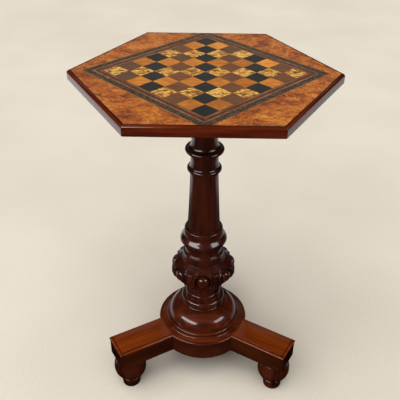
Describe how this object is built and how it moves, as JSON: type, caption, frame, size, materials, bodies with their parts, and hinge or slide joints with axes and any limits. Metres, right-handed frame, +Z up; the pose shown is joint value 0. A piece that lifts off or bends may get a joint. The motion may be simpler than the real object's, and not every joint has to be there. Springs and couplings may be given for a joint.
{
  "type": "tilt top table",
  "caption": "Hexagonal chess table whose top tilts upright on a turned and carved column with box legs and bun feet.",
  "frame": {"origin": "on the floor, under the axis of the column, at the bottom centre of the whole table", "axes": "+Z up along the column; +X to the right and parallel to the pivot axis; +Y from the front edge of the top to the back edge; +Y is also the direction of the back leg"},
  "size_m": [0.496, 0.4392, 0.72],
  "materials": {
    "mahogany": "French-polished Cuban mahogany, deep red-brown, glossy",
    "hidden_mahogany": "plain mahogany, waxed, unseen under the top",
    "ground": "pine ground, planed and oiled",
    "burr_walnut": "polished burr veneer, orange-brown with swirling figure",
    "ebonised": "ebonised veneer, greenish black, polished",
    "brown_wood": "straight-grained brown veneer, polished",
    "satinwood": "warm orange veneer, polished",
    "shell_mosaic": "mottled gold and brown burr veneer, polished",
    "rosewood": "red-brown rosewood strip, polished",
    "boxwood": "pale boxwood stringing, polished",
    "mosaic": "dark greenish-brown mosaic banding, polished",
    "brass": "lacquered brass",
    "steel": "plain steel",
    "wedge_wood": "beech wedge, unfinished"
  },
  "bodies": {
    "stand": {"keeper_plate": "brass", "keeper_screw_set": "brass", "pivot_block": "hidden_mahogany", "pivot_pin_left": "brass", "pivot_pin_right": "brass", "tenon_wedge": "wedge_wood", "column_shaft": "mahogany", "carved_bulb": "mahogany", "base_collar": "mahogany", "base_dome": "mahogany", "base_wedge": "wedge_wood", "hub": "mahogany", "leg_left": "mahogany", "leg_right": "mahogany", "leg_back": "mahogany", "foot_left": "mahogany", "foot_right": "mahogany", "foot_back": "mahogany"},
    "top": {"top_core": "ground", "edge_moulding_1": "mahogany", "edge_moulding_2": "mahogany", "edge_moulding_3": "mahogany", "edge_moulding_4": "mahogany", "edge_moulding_5": "mahogany", "edge_moulding_6": "mahogany", "burr_front_left": "burr_walnut", "burr_front_right": "burr_walnut", "burr_back_left": "burr_walnut", "burr_back_right": "burr_walnut", "mosaic_band": "mosaic", "outer_stringing": "boxwood", "middle_stringing": "boxwood", "inner_stringing": "boxwood", "rosewood_strips": "rosewood", "dark_fillets": "brown_wood", "black_squares": "ebonised", "brown_squares": "brown_wood", "satinwood_squares": "satinwood", "shell_squares": "shell_mosaic", "bearer_left": "hidden_mahogany", "bearer_right": "hidden_mahogany", "bearer_screw_set": "steel", "catch_guide": "brass", "catch_spring": "brass", "catch_screw_set": "brass"},
    "bolt": {"catch_bolt": "brass", "catch_knob": "brass"}
  },
  "joints": [
    {"name": "top_tilt", "type": "hinge", "parent": "stand", "child": "top", "pos_m": [0, -0.045, 0.687], "axis": [1, 0, 0], "range_deg": [0, 90]},
    {"name": "bolt_slide", "type": "slide", "parent": "top", "child": "bolt", "axis": [0, -1, 0], "range_m": [0, 0.008]}
  ]
}
